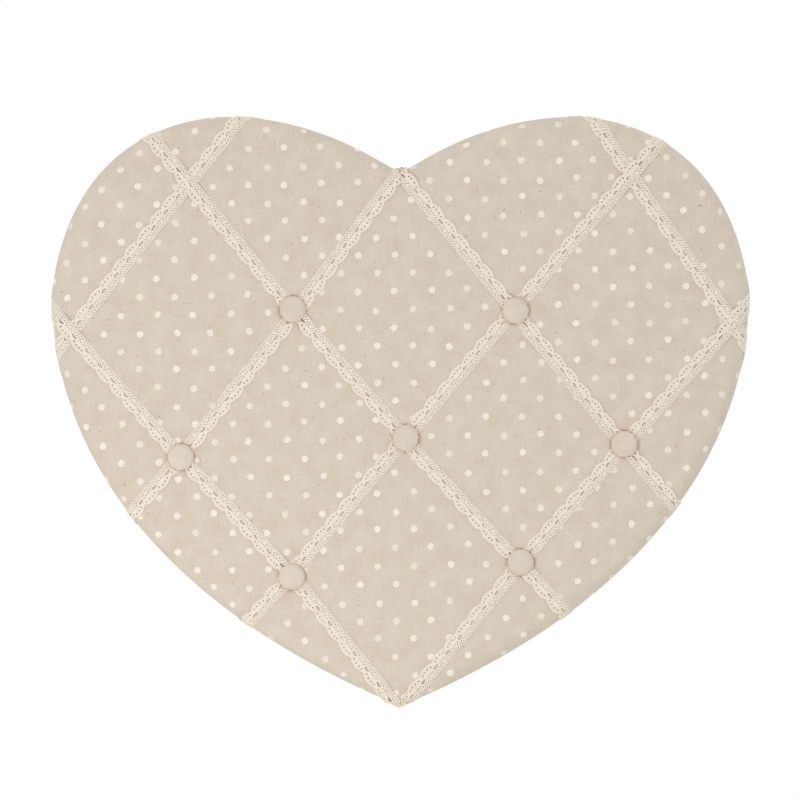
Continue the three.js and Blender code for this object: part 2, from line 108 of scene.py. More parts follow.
def calc(tree, operation, first, second):
    return add_node(tree, "ShaderNodeMath", {0: first, 1: second}, operation=operation).outputs[0]


def raise_by(tree, shader, height, depth):
    bump = add_node(tree, "ShaderNodeBump", {"Height": height, "Distance": depth})
    tree.links.new(bump.outputs[0], shader.inputs["Normal"])


def dress(node_name, material):
    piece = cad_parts[node_name]
    piece.data.materials.clear()
    piece.data.materials.append(material)


def grained_finish(name, roughness, per_metre, detail, dark, pale, relief=0):
    """A finish that wavers between two colours with its grain, which may also raise the surface."""
    material, tree, shader = new_finish(name, roughness)
    place = add_node(tree, "ShaderNodeTexCoord").outputs["Object"]
    grains = grain(tree, place, per_metre, detail)
    tree.links.new(mix_colours(tree, grains, dark, pale), shader.inputs["Base Color"])
    if relief:
        raise_by(tree, shader, grains, relief)
    return material, tree, shader, grains


fibre_dark = srgb(139, 108, 74)
fibre_pale = srgb(184, 152, 112)
fibreboard, *_ = grained_finish("fibreboard", 0.9, fibre_grain, 6.0, fibre_dark, fibre_pale, fibre_relief)
dress("backing_board", fibreboard)


# Wadding
# A layer of white polyester wadding glued to the front of the board and drawn in where each button is
# pinned through it. It gives the linen its soft front and its rounded rim.
heart_width = 400 * mm
heart_height = 338.5 * mm
notch_drop = 31.9 * mm
notch_slope = 24
lobe_out = 100 * mm
shoulder_out = 165 * mm
shoulder_drop = 24.7 * mm
shoulder_slope = -42
widest_drop = 104.2 * mm
tip_slope = 22.6
notch_handle = 12.4 * mm
lobe_inner_handle = 53.8 * mm
lobe_outer_handle = 12 * mm
shoulder_upper_handle = 31.6 * mm
shoulder_lower_handle = 40.7 * mm
widest_upper_handle = 10 * mm
widest_lower_handle = 53 * mm
tip_handle = 190 * mm
curve_steps = 80
point_spacing = 3.2 * mm
field_margin = 0.7 * point_spacing
corner_fan = 5
rim_radius = 9 * mm
pad_rim_steps = 6
board_front = 6.2 * mm
front_level = 21.1 * mm
seat_depth = 2.4 * mm
seat_foot = 6.4 * mm
seat_lip = 8.2 * mm
# Rings of points round each button, with their radius in millimetres and their number.
seat_rings = [(2.5, 8), (4.8, 16), (6.4, 32), (7, 32), (7.6, 32), (8.2, 32), (9.8, 32)]
seat_clear = 11.8 * mm
tuft_depth = 1.2 * mm
tuft_reach = 16 * mm
button_radius = 7.65 * mm
cloth_room = 0.9 * mm
pad_room = 0.5 * mm
fluff_grain = (700, 700, 700)
fluff_relief = 0.6 * mm


def polar(degrees, length):
    return Vector((math.cos(math.radians(degrees)) * length, math.sin(math.radians(degrees)) * length))


def heart_outline():
    """Points of the heart at even spacing, from the notch over the left lobe to the tip and back."""
    top = heart_height / 2
    notch = Vector((0, top - notch_drop))
    lobe = Vector((lobe_out, top))
    shoulder = Vector((shoulder_out, top - shoulder_drop))
    widest = Vector((heart_width / 2, top - widest_drop))
    tip = Vector((0, -top))
    curves = [
        (notch, notch + polar(notch_slope, notch_handle), lobe + polar(180, lobe_inner_handle), lobe),
        (lobe, lobe + polar(0, lobe_outer_handle),
         shoulder + polar(shoulder_slope + 180, shoulder_upper_handle), shoulder),
        (shoulder, shoulder + polar(shoulder_slope, shoulder_lower_handle),
         widest + polar(90, widest_upper_handle), widest),
        (widest, widest + polar(-90, widest_lower_handle), tip + polar(tip_slope, tip_handle), tip),
    ]
    dense = [point for curve in curves for point in geometry.interpolate_bezier(*curve, curve_steps)[:-1]]
    dense = np.array([point.to_2d() for point in dense + [tip]])
    lengths = np.concatenate([[0], np.cumsum(np.linalg.norm(np.diff(dense, axis=0), axis=1))])
    stations = np.linspace(0, lengths[-1], round(lengths[-1] / point_spacing) + 1)
    right = np.stack([np.interp(stations, lengths, dense[:, axis]) for axis in (0, 1)], axis=1)
    left = right * (-1, 1)
    return np.concatenate([left, right[-2:0:-1]])


outline = heart_outline()


def outward_normals(points):
    """Outward normals of an anticlockwise outline, fanned near its corners. Each is long enough that a
    ring set off along it keeps its distance."""
    along = np.roll(points, -1, axis=0) - points
    along /= np.linalg.norm(along, axis=1, keepdims=True)
    after = np.stack([along[:, 1], -along[:, 0]], axis=1)
    middle = after + np.roll(after, 1, axis=0)
    fanned = sum(np.roll(middle, shift, axis=0) for shift in range(-corner_fan, corner_fan + 1))
    return fanned / np.sum(fanned * after, axis=1, keepdims=True)


outline_normals = outward_normals(outline)


def inset_outline(distance):
    return outline - outline_normals * distance


def inside(points, ring):
    """Which points lie inside a closed ring."""
    found = np.zeros(len(points), bool)
    for a, b in zip(ring, np.roll(ring, -1, axis=0)):
        crosses = (a[1] > points[:, 1]) != (b[1] > points[:, 1])
        with np.errstate(divide="ignore", invalid="ignore"):
            meets = a[0] + (points[:, 1] - a[1]) / (b[1] - a[1]) * (b[0] - a[0])
        found ^= crosses & (points[:, 0] < meets)
    return found


def fill_ring(ring, clear_ring):
    """Even triangles inside a ring: the extra points, and faces that count the ring's points first."""
    step = point_spacing
    rows = np.arange(-heart_height / 2, heart_height / 2, step * math.sqrt(3) / 2)
    columns = np.arange(-heart_width / 2, heart_width / 2, step)
    spread = np.array([(x + step / 2 * (i % 2), z) for i, z in enumerate(rows) for x in columns])
    clear = inside(spread, clear_ring)
    seats = []
    for middle in button_places.values():
        clear &= np.linalg.norm(spread - np.array(middle), axis=1) > seat_clear
        for radius, count in seat_rings:
            seats += [(middle + polar(360 * i / count, radius * mm))[:] for i in range(count)]
    extra = np.concatenate([spread[clear], seats])
    points = [Vector(point) for point in np.concatenate([ring, extra])]
    edges = [(i, (i + 1) % len(ring)) for i in range(len(ring))]
    _, _, faces, sources, _, _ = geometry.delaunay_2d_cdt(points, edges, [], 1, 1e-9)
    return extra, [[sources[i][0] for i in face] for face in faces]


button_keys = ["upper_left", "upper_right", "middle", "left", "right", "lower_left", "lower_right"]


def node_middle(name):
    low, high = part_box(name)
    return (Vector(low) + Vector(high)) / 2


button_places = {key: node_middle(f"button_cap_{key}").xz for key in button_keys}


def tuft_drop(points, wider=0):
    """How far the front is drawn in at each point by the buttons, with their seats made wider if asked."""
    drop = np.zeros(len(points))
    for middle in button_places.values():
        distance = np.linalg.norm(points - np.array(middle), axis=1) - wider
        share = np.clip((seat_lip - distance) / (seat_lip - seat_foot), 0, 1)
        seat = seat_depth * share ** 2 * (3 - 2 * share)
        tuft = tuft_depth * np.exp(-np.maximum(distance - button_radius, 0) / tuft_reach)
        drop = np.maximum(drop, seat + tuft)
    return drop


def rim_rings(radius, start_inset, front, steps):
    """Rings of a rounded rim from its side up to the front: outline points and level."""
    rings = []
    for step in range(steps + 1):
        angle = math.pi / 2 * step / steps
        inset = start_inset + radius * (1 - math.cos(angle))
        rings.append((inset_outline(inset), front - radius * (1 - math.sin(angle))))
    return rings


def stand_up(points, levels):
    """Plan points and levels above the wall as places in the room."""
    levels = np.broadcast_to(levels, (len(points),))
    return np.stack([points[:, 0], -levels, points[:, 1]], axis=1)


def ring_faces(ring_count, around):
    faces = []
    for ring in range(ring_count - 1):
        for i in range(around):
            a, b = ring * around + i, ring * around + (i + 1) % around
            faces.append((a, b, b + around, a + around))
    return faces


def make_object(name, vertices, faces, material):
    mesh = bpy.data.meshes.new(name)
    mesh.from_pydata([tuple(vertex) for vertex in vertices], [], faces)
    mesh.materials.append(material)
    mesh.shade_smooth()
    piece = bpy.data.objects.new(name, mesh)
    bpy.context.scene.collection.objects.link(piece)
    return piece


field_clear = inset_outline(rim_radius + field_margin)
field_points, field_faces = fill_ring(inset_outline(rim_radius), field_clear)
around = len(outline)


def fronted_shell(rings, front, wider=0):
    """Points and faces of rings that end in a front, which the buttons draw in."""
    vertices = [stand_up(points, level) for points, level in rings[:-1]]
    for points in (rings[-1][0], field_points):
        vertices.append(stand_up(points, front - tuft_drop(points, wider)))
    faces = ring_faces(len(rings), around)
    last = (len(rings) - 1) * around
    faces += [tuple(last + i for i in face) for face in field_faces]
    return np.concatenate(vertices), faces


def make_wadding():
    pad_front = front_level - cloth_room
    rings = [(inset_outline(cloth_room), board_front)]
    rings += rim_rings(rim_radius - cloth_room, cloth_room, pad_front, pad_rim_steps)
    vertices, faces = fronted_shell(rings, pad_front, pad_room)
    back = geometry.tessellate_polygon([[Vector((x, z, 0)) for x, z in rings[0][0]]])
    faces += [tuple(reversed(face)) for face in back]
    return make_object("wadding", vertices, faces, wadding_finish)


fluff_dark = srgb(232, 231, 226)
fluff_pale = srgb(250, 249, 246)
wadding_finish, *_ = grained_finish("wadding", 1.0, fluff_grain, 8.0, fluff_dark, fluff_pale, fluff_relief)
wadding = make_wadding()
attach(wadding, "board")
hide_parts("padding")


# Linen cover
# Natural linen with a printed dot, stretched over the wadding, turned round the rim and glued down on the
# back of the board. Small slubs and darker fibres run through the cloth both ways.
cloth_thickness = 0.6 * mm
hem_level = 1.6 * mm
hem_width = 18 * mm
back_fold = 1 * mm
fold_corner = 0.3 * mm
rim_steps = 8
held_reach = 9 * mm
cloth_pressure = 4
swell_limit = 2.5 * mm
cloth_frames = 20
warp_grain = (1200, 130, 1)
weft_grain = (130, 1200, 1)
patch_grain = (90, 90, 1)
tone_range = (0.3, 0.7)
fleck_up_grain = (850, 230, 1)
fleck_up_range = (0.725, 0.8)
fleck_across_grain = (230, 850, 1)
fleck_across_range = (0.735, 0.81)
fleck_strength = 0.65
thread_grain = (1700, 1700, 1)
linen_relief = 0.12 * mm
linen_pale = srgb(223, 212, 197)
linen_dark = srgb(209, 196, 179)
linen_fleck = srgb(150, 126, 98)
dot_colour = srgb(249, 239, 226)
dot_radius = 1.95 * mm
dot_row = Vector((20.87, 0.48)) * mm
dot_column = Vector((-0.09, 20.96)) * mm
dot_start = Vector((-87.25, 150.65)) * mm
dot_jitter = 0.1
dot_edge_grain = (700, 700, 1)
dot_edge_depth = 0.9
dot_fade = (0.9, 1.08)
dot_relief = 0.35
thread_wear_range = (0.45, 0.7)
thread_wear = 0.35
thin_ink_grain = (45, 45, 1)
thin_ink_range = (0.35, 0.65)
thin_ink = 0.32
pull = 1.6 * mm
pulls_per_metre = 14.0


def weighted(tree, *parts):
    """The sum of values, each times its share."""
    total = None
    for value, share in parts:
        scaled = calc(tree, "MULTIPLY", value, share)
        total = scaled if total is None else calc(tree, "ADD", total, scaled)
    return total


def printed_dots(tree, weave):
    """1 inside the printed dots and 0 between them. The cloth is pulled a little out of square."""
    toward = (dot_row + dot_column) / 2
    away = (dot_column - dot_row) / 2
    lattice = np.linalg.inv(np.array([[toward.x, away.x], [toward.y, away.y]]))
    uneven = add_node(tree, "ShaderNodeTexNoise", {"Vector": weave, "Scale": pulls_per_metre, "Detail": 1.0})
    uneven = vectors(tree, "SUBTRACT", uneven.outputs["Color"], (0.5, 0.5, 0.5))
    pulled = vectors(tree, "ADD", weave, vectors(tree, "SCALE", uneven, 2 * pull))
    start = dot_start - (toward + away) * dot_jitter / 2
    shifted = vectors(tree, "SUBTRACT", pulled, (*start, 0))
    shares = [vectors(tree, "DOT_PRODUCT", shifted, (*row, 0)) for row in lattice]
    cell = add_node(tree, "ShaderNodeCombineXYZ", {0: shares[0], 1: shares[1]}).outputs[0]
    inputs = {"Vector": cell, "Scale": 1.0, "Randomness": dot_jitter}
    spots = add_node(tree, "ShaderNodeTexVoronoi", inputs, voronoi_dimensions="2D")
    radius = dot_radius / toward.length
    ragged = calc(tree, "SUBTRACT", grain(tree, weave, dot_edge_grain, 2.0), 0.5)
    ragged = calc(tree, "MULTIPLY", ragged, radius * dot_edge_depth)
    distance = calc(tree, "ADD", spots.outputs["Distance"], ragged)
    full, none = [radius * share for share in dot_fade]
    return calc(tree, "SUBTRACT", 1.0, ramp(tree, distance, full, none))


def linen_finish(name, pale, dark, dots):
    material, tree, shader = new_finish(name, 0.92)
    weave = add_node(tree, "ShaderNodeAttribute", attribute_name="weave").outputs["Vector"]
    warp = grain(tree, weave, warp_grain, 2.0)
    weft = grain(tree, weave, weft_grain, 2.0)
    patches = grain(tree, weave, patch_grain, 3.0)
    tone = weighted(tree, (warp, 0.35), (weft, 0.25), (patches, 0.4))
    colour = mix_colours(tree, ramp(tree, tone, *tone_range), dark, pale)
    upright = ramp(tree, grain(tree, weave, fleck_up_grain, 1.0), *fleck_up_range)
    lying = ramp(tree, grain(tree, weave, fleck_across_grain, 1.0), *fleck_across_range)
    flecks = calc(tree, "MULTIPLY", calc(tree, "MAXIMUM", upright, lying), fleck_strength)
    colour = mix_colours(tree, flecks, colour, linen_fleck)
    threads = grain(tree, weave, thread_grain, 1.0)
    relief = weighted(tree, (tone, 0.6), (threads, 0.4))
    if dots:
        printed = printed_dots(tree, weave)
        rubbed = ramp(tree, threads, *thread_wear_range)
        faint = ramp(tree, grain(tree, weave, thin_ink_grain, 1.0), *thin_ink_range)
        ink = calc(tree, "SUBTRACT", 1.0, weighted(tree, (rubbed, thread_wear), (faint, thin_ink)))
        colour = mix_colours(tree, calc(tree, "MULTIPLY", printed, ink), colour, dot_colour)
        relief = weighted(tree, (relief, 1.0), (printed, dot_relief))
    tree.links.new(colour, shader.inputs["Base Color"])
    raise_by(tree, shader, relief, linen_relief)
    shader.inputs["Specular IOR Level"].default_value = 0.25
    shader.inputs["Sheen Weight"].default_value = 0.1
    return material


def store_weave(piece, coordinates):
    """Keeps each point's place on the flat cloth, for the print and the threads."""
    attribute = piece.data.attributes.new("weave", "FLOAT_VECTOR", "POINT")
    flat = np.zeros((len(coordinates), 3))
    flat[:, :2] = coordinates
    attribute.data.foreach_set("vector", flat.ravel())


def evaluated_mesh(piece):
    depsgraph = bpy.context.evaluated_depsgraph_get()
    return bpy.data.meshes.new_from_object(piece.evaluated_get(depsgraph), depsgraph=depsgraph)


def apply_modifiers(piece):
    mesh = evaluated_mesh(piece)
    piece.modifiers.clear()
    piece.data = mesh


def thicken(piece, thickness):
    """Gives a sheet its thickness on the inner side."""
    wall = piece.modifiers.new("cloth_thickness", "SOLIDIFY")
    wall.thickness = thickness
    wall.offset = -1
    apply_modifiers(piece)


def make_cover():
    """The cover as a shell with each point's place on the flat cloth, and the points where it is held."""
    side_top = front_level - rim_radius
    rings = [(inset_outline(inset), hem_level) for inset in (hem_width, hem_width / 2, back_fold)]
    rings.append((inset_outline(fold_corner), hem_level + fold_corner))
    rings += [(outline, hem_level + back_fold), (outline, (hem_level + side_top) / 2)]
    rings += rim_rings(rim_radius, 0, front_level, rim_steps)
    vertices, faces = fronted_shell(rings, front_level)
    cover = make_object("dotted_linen_cover", vertices, faces, dotted_linen)
    flat = [field_points]
    travelled = 0
    for k in range(len(rings) - 1, -1, -1):
        if k < len(rings) - 1:
            shift = rings[k][0] - rings[k + 1][0]
            drop = rings[k][1] - rings[k + 1][1]
            travelled += float(np.median(np.hypot(np.linalg.norm(shift, axis=1), drop)))
        flat.insert(0, inset_outline(rim_radius) + outline_normals * travelled)
    store_weave(cover, np.concatenate(flat))
    held = list(range((len(rings) - 2) * around))
    front_start = (len(rings) - 1) * around
    for middle in button_places.values():
        near = np.linalg.norm(vertices[:, [0, 2]] - np.array(middle), axis=1) < held_reach
        held += [int(i) for i in np.flatnonzero(near) if i >= front_start]
    return cover, held


def swell_as_cloth(cover, held):
    """Lets the linen swell between the buttons and the rim, where it is held."""
    rest = np.array([vertex.co[:] for vertex in cover.data.vertices])
    group = cover.vertex_groups.new(name="held")
    group.add(held, 1.0, "REPLACE")
    cloth = cover.modifiers.new("stretch", "CLOTH")
    cloth.settings.vertex_group_mass = group.name
    cloth.settings.use_pressure = True
    cloth.settings.uniform_pressure_force = cloth_pressure
    cloth.settings.effector_weights.gravity = 0
    cloth.point_cache.frame_start = 1
    cloth.point_cache.frame_end = cloth_frames
    for step in range(1, cloth_frames + 1):
        bpy.context.scene.frame_set(step)
    mesh = evaluated_mesh(cover)
    settled = np.array([vertex.co[:] for vertex in mesh.vertices])
    cover.modifiers.clear()
    cover.vertex_groups.clear()
    bpy.context.scene.frame_set(1)
    moved = settled - rest
    distance = np.linalg.norm(moved, axis=1, keepdims=True)
    moved *= np.minimum(1, swell_limit / np.maximum(distance, 1e-9))
    cover.data.vertices.foreach_set("co", (rest + moved).ravel())
    cover.data.update()


dotted_linen = linen_finish("dotted_linen", linen_pale, linen_dark, True)
cover, held_points = make_cover()
swell_as_cloth(cover, held_points)
cover_front = BVHTree.FromPolygons([vertex.co for vertex in cover.data.vertices],
                                   [tuple(face.vertices) for face in cover.data.polygons])
thicken(cover, cloth_thickness)
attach(cover, "board")
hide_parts("linen_cover")


# Lace ribbons
# Eight lengths of cream cotton edging, each with one straight and one scalloped side. They lie over the
# linen from rim to rim, pinned under the buttons, and their ends are turned under and glued to the hem.
lace_pitch = 11.25 * mm
lace_straight = 3.5 * mm
scallop_peak = 5.5 * mm
lace_width = lace_straight + scallop_peak
scallop_depth = 1.6 * mm
scallop_steps = 8
scallop_round = 0.75
lace_thickness = 0.5 * mm
border_drops = [0, 0.5 * mm, 1.1 * mm]
border_heights = [0.15 * mm, 0.65 * mm, lace_thickness]
border_rises = [0, 0.2 * mm, 0.4 * mm]
selvedge_heights = [0.1 * mm, 0.35 * mm, lace_thickness]
# Each hole has its place, across as a share of the repeat and up in millimetres, and its shape: long and
# short radius in millimetres, turn in degrees and number of corners.
slot_place = (0.5, 0.7)
slot_hole = (2, 0.68, 0, 10)
slot_bow = 0.35
slot_rim = 0.12 * mm
scallop_holes = [(0.12, 3.15), (0.33, 2.6), (0.7, 2.8), (0.89, 3.15)]
scallop_hole = (0.58, 0.5, 20, 5)
net_rows = [(-2.35, (0.07, 0.21, 0.36, 0.5, 0.64, 0.79, 0.93)),
            (-1.15, (0.14, 0.285, 0.43, 0.57, 0.715, 0.86)),
            (0.1, (0.07, 0.21, 0.79, 0.93))]
net_hole = (0.42, 0.38, 45, 4)
lace_gap = 0.1 * mm
lace_columns = 9
rows_per_scallop = 12
sample_step = 0.5 * mm
run_out = 60 * mm
under_button = 5 * mm
bend_samples = 25
bridge_samples = 3
ray_start = -0.1
# Where a ribbon's ends are placed: turns in degrees round the rim and the back edge, levels and the tab's
# length in millimetres.
rim_turns = (80, 70, 60, 50, 40, 30)
side_turns = (30, 20, 10, 0)
side_levels = (10, 8, 6, 4)
fold_turns = (0, 30, 60, 90)
tab_length = 24
lift_reach = 6 * mm
lift_rows = 4
lift_blend = 2
lean_limit = 0.8
meeting_reach = 25 * mm
mitre_gap = 0.05 * mm
lace_wander = 1.3 * mm
wanders_per_metre = 260.0
weld_distance = 0.01 * mm
crease_turn = 50
meeting_half = 3 * mm
twist_grain = (2600, 1300, 1300)
knot_grain = (700, 700, 700)
lace_tone_range = (0.36, 0.62)
lace_relief = 0.25 * mm
lace_cream = srgb(244, 235, 220)
lace_shade = srgb(231, 219, 202)


def layout(across, up):
    """A place on the board as shares of its half width and half height."""
    return Vector((across * heart_width / 2, up * heart_height / 2))


notch_left, notch_right = [Vector((side * meeting_half, heart_height / 2 - notch_drop)) for side in (-1, 1)]
tip_left, tip_right = [Vector((side * meeting_half, -heart_height / 2)) for side in (-1, 1)]
upper_left, upper_right, middle, left, right, lower_left, lower_right = button_places.values()
# In the order they are laid, each with its scalloped side on the left of the way it runs. The drifts are
# how far each stretch lies to that side of the line between its buttons, at its start and its end, in
# millimetres. Then come where the repeat begins, as a share of it, and the repeat's length in millimetres
# as the ribbon was pulled. The last is the side of the board that a ribbon keeps to where it meets its twin
# at the notch or the tip.
lace_runs = {
    "lace_top_right": ([layout(0.987, 0.226), layout(0.6725, 0.804), layout(0.56, 0.981)],
                       [(-2, 1.7), (1.7, -0.6)], 0.3, 11.6, 0),
    "lace_top_left": ([layout(-0.984, 0.209), layout(-0.467, 0.983)], [(-0.6, -0.6)], 0.98, 11.5, 0),
    "lace_left_rising": ([notch_left, upper_left, left, layout(-0.7575, -0.337)],
                         [(1.6, 1.6), (1.8, -0.3), (-0.8, -1.7)], 0, 11.25, -1),
    "lace_long_rising": ([layout(-0.4255, -0.708), lower_left, middle, upper_right, layout(0.7455, 0.912)],
                         [(0.3, 0.3), (0.7, -0.3), (-0.6, 0.3), (0.3, 0.1)], 0.32, 11.15, 0),
    "lace_right_rising": ([tip_right, lower_right, right, layout(0.99, 0.3445)],
                          [(0.7, -0.9), (-0.6, -1.4), (-1.4, -0.1)], 0.3, 11, 1),
    "lace_long_falling": ([layout(0.4785, -0.691), lower_right, middle, upper_left, layout(-0.714, 0.932)],
                          [(-0.6, -0.6), (0.6, 0.3), (-0.6, -0.6), (-0.3, -0.2)], 0.5, 11.35, 0),
    "lace_left_falling": ([tip_left, lower_left, left, layout(-0.9985, 0.317)],
                          [(-1.3, -1.3), (-0.9, -0.9), (-0.2, -3.2)], 0.46, 11.2, -1),
    "lace_right_falling": ([notch_right, upper_right, right, layout(0.7975, -0.328)],
                           [(-3.2, -1.3), (-1.4, -1.4), (-1.2, -1.2)], 0.37, 11.2, 1),
}


def lace_hole(across, up, long_radius, short_radius, turn, corners, bow=0):
    """Corners of a hole; across is a share of the repeat and the other sizes are in millimetres."""
    points = []
    for corner in range(corners):
        angle = 2 * math.pi * corner / corners
        rise = math.sin(angle) * short_radius - math.cos(angle) ** 2 * bow
        offset = Vector((math.cos(angle) * long_radius, rise))
        offset.rotate(Matrix.Rotation(math.radians(turn), 2))
        points.append((across * lace_pitch + offset.x * mm, (up + offset.y) * mm))
    return points


def scallop_edge(x):
    return scallop_peak - scallop_depth * (1 - abs(math.cos(math.pi * x / lace_pitch)) ** scallop_round)


def lace_top(x, y):
    """Height of the lace at a place on its repeat: a cord along each border and flat between."""
    drop = scallop_edge(x) - y
    if drop < border_drops[-1]:
        return np.interp(drop, border_drops, border_heights)
    return np.interp(y + lace_straight, border_rises, selvedge_heights)


def lace_motif():
    """One repeat of the edging laid flat, from the peak of one scallop to the next."""
    stations = [lace_pitch * step / scallop_steps for step in range(scallop_steps + 1)]
    lines = [[(x, scallop_edge(x) - drop) for x in stations] for drop in border_drops]
    lines += [[(x, rise - lace_straight) for x in stations[::4]] for rise in border_rises]
    holes = [lace_hole(*slot_place, *slot_hole, slot_bow)]
    holes += [lace_hole(x, y, *scallop_hole) for x, y in scallop_holes]
    holes += [lace_hole(x, y, *net_hole) for y, row in net_rows for x in row]
    flat = []
    edges = []
    for line in lines + holes:
        first = len(flat)
        flat += line
        edges += [(i, i + 1) for i in range(first, len(flat) - 1)]
        if line in holes:
            edges.append((len(flat) - 1, first))
    ends = sorted((x, y, i) for i, (x, y) in enumerate(flat) if x in (0, lace_pitch))
    edges += [(a[2], b[2]) for a, b in zip(ends, ends[1:]) if a[0] == b[0]]
    tops = [(x, y, lace_top(x, y)) for x, y in flat]
    for x, y in holes[0]:
        tops[flat.index((x, y))] = (x, y, lace_thickness + slot_rim)
    points = [Vector(point) for point in flat]
    _, _, faces, sources, _, _ = geometry.delaunay_2d_cdt(points, edges, [], 1, 1e-9)
    faces = [tuple(sources[i][0] for i in face) for face in faces]
    hole_of = [None] * sum(len(line) for line in lines)
    hole_of += [number for number, hole in enumerate(holes) for _ in hole]
    faces = [face for face in faces if hole_of[face[0]] is None or len({hole_of[i] for i in face}) > 1]
    count = len(flat)
    solid = [face[::-1] for face in faces] + [tuple(count + i for i in face) for face in faces]
    directed = {(a, b) for face in faces for a, b in zip(face, face[1:] + face[:1])}
    for a, b in sorted(directed):
        joins_next = flat[a][0] == flat[b][0] and flat[a][0] in (0, lace_pitch)
        if (b, a) not in directed and not joins_next:
            solid.append((a, b, count + b, count + a))
    return [(x, y, 0) for x, y in flat] + tops, solid


def signed_inset(points):
    """Distance of plan points from the outline, positive inside."""
    nearest = np.full(len(points), np.inf)
    for a, b in zip(outline, np.roll(outline, -1, axis=0)):
        along = b - a
        share = np.clip((points - a) @ along / (along @ along), 0, 1)
        nearest = np.minimum(nearest, np.linalg.norm(points - a - share[:, None] * along, axis=1))
    return np.where(inside(points, outline), nearest, -nearest)


def smooth(values, reach):
    """Running mean, with the ends repeated."""
    padded = np.pad(values, reach, mode="edge")
    return np.convolve(padded, np.ones(2 * reach + 1) / (2 * reach + 1), mode="valid")


def lengths_along(path):
    return np.concatenate([[0], np.cumsum(np.linalg.norm(np.diff(path, axis=0), axis=1))])


def resample(path, lengths, wanted):
    return np.stack([np.interp(wanted, lengths, values) for values in path.T], axis=1)


def lace_line(points, drifts):
    """Even samples of a ribbon's line, run on straight past both ends, and its directions."""
    knots = []
    for start, end, (first, last) in zip(points, points[1:], drifts):
        along = (end - start).normalized()
        side = Vector((-along.y, along.x)) * mm
        knots.append((start + along * under_button + side * first)[:])
        knots.append((end - along * under_button + side * last)[:])
    knots = np.array(knots)
    before = (knots[0] - knots[1]) / np.linalg.norm(knots[0] - knots[1]) * run_out
    after = (knots[-1] - knots[-2]) / np.linalg.norm(knots[-1] - knots[-2]) * run_out
    knots = np.concatenate([[knots[0] + before], knots, [knots[-1] + after]])
    lengths = lengths_along(knots)
    line = resample(knots, lengths, np.arange(0, lengths[-1], sample_step))
    line = np.stack([smooth(values, bend_samples) for values in line.T], axis=1)
    along = np.gradient(line, axis=0)
    return line, along / np.linalg.norm(along, axis=1, keepdims=True)


closed_outline = np.concatenate([outline, outline[:1]])
closed_normals = np.concatenate([outline_normals, outline_normals[:1]])
outline_lengths = lengths_along(closed_outline)


def outline_station(point):
    """Length along the outline to its nearest place to a point."""
    along = np.diff(closed_outline, axis=0)
    share = np.sum((point - outline) * along, axis=1) / np.sum(along * along, axis=1)
    share = np.clip(share, 0, 1)
    nearest = np.argmin(np.linalg.norm(point - outline - share[:, None] * along, axis=1))
    return outline_lengths[nearest] + share[nearest] * np.linalg.norm(along[nearest])


def rim_way(degrees):
    """Insets and levels of a ribbon on the rounded rim, at angles from its side."""
    turns = [polar(angle, rim_radius + lace_gap) for angle in degrees]
    return [(rim_radius - across, front_level - rim_radius + up) for across, up in turns]


def under_way():
    """Insets and levels from the last of the rim, down the side and round the back edge to the tab's end."""
    way = rim_way(side_turns) + [(-lace_gap, level * mm) for level in side_levels]
    folds = [polar(angle, back_fold + lace_gap) for angle in fold_turns]
    way += [(back_fold - across, hem_level + back_fold - up) for across, up in folds]
    tab = [(back_fold + step * mm, hem_level - lace_gap) for step in range(1, tab_length + 1)]
    return np.array(way + tab)


def lace_end(plan, insets, index, step):
    """One lengthwise line of a ribbon from the front to the end of its tab on the hem. On the side and the
    back it keeps its slant to the edge, except where two ribbons meet at the notch."""
    outward = [index]
    while insets[outward[-1]] > -2 * lace_gap:
        outward.append(outward[-1] + step)
    rim = np.array(rim_way(rim_turns))
    under = under_way()
    spots = np.interp(-rim[:, 0], [-insets[i] for i in outward], outward)
    over_rim = resample(plan, np.arange(len(plan)), spots)
    run = plan[outward[-1]] - plan[outward[0]]
    station = outline_station(over_rim[-1])
    out = resample(closed_normals, outline_lengths, [station])[0]
    lean = np.clip((out[0] * run[1] - out[1] * run[0]) / (out @ run), -lean_limit, lean_limit)
    at_notch = abs(over_rim[-1][0]) < meeting_reach and over_rim[-1][1] > 0
    if at_notch:
        lean = 0
    stations = np.mod(station + lean * lengths_along(under), outline_lengths[-1])
    places = resample(closed_outline, outline_lengths, stations)
    places -= resample(closed_normals, outline_lengths, stations) * under[:, :1]
    path = np.concatenate([over_rim[:-1], places])
    return stand_up(path, np.concatenate([rim[:-1, 1], under[:, 1]]))


def lace_edge(line, along, offset):
    """One lengthwise line of a ribbon from tab to tab, with its lengths from the ribbon's middle."""
    plan = line + np.stack([-along[:, 1], along[:, 0]], axis=1) * offset
    insets = signed_inset(plan)
    first = last = centre = len(plan) // 2
    while insets[first - 1] > rim_radius:
        first -= 1
    while insets[last + 1] > rim_radius:
        last += 1
    rays = [(Vector((x, ray_start, z)), Vector((0, 1, 0))) for x, z in plan[first:last + 1]]
    levels = np.array([-cover_front.ray_cast(*ray)[0].y for ray in rays])
    levels = smooth(np.maximum(levels, smooth(levels, bridge_samples)), 1)
    front = stand_up(plan[first:last + 1], levels + lace_gap)
    start = lace_end(plan, insets, first, -1)[::-1]
    path = np.concatenate([start, front, lace_end(plan, insets, last, 1)])
    lengths = lengths_along(path)
    return path, lengths - lengths[len(start) + centre - first]


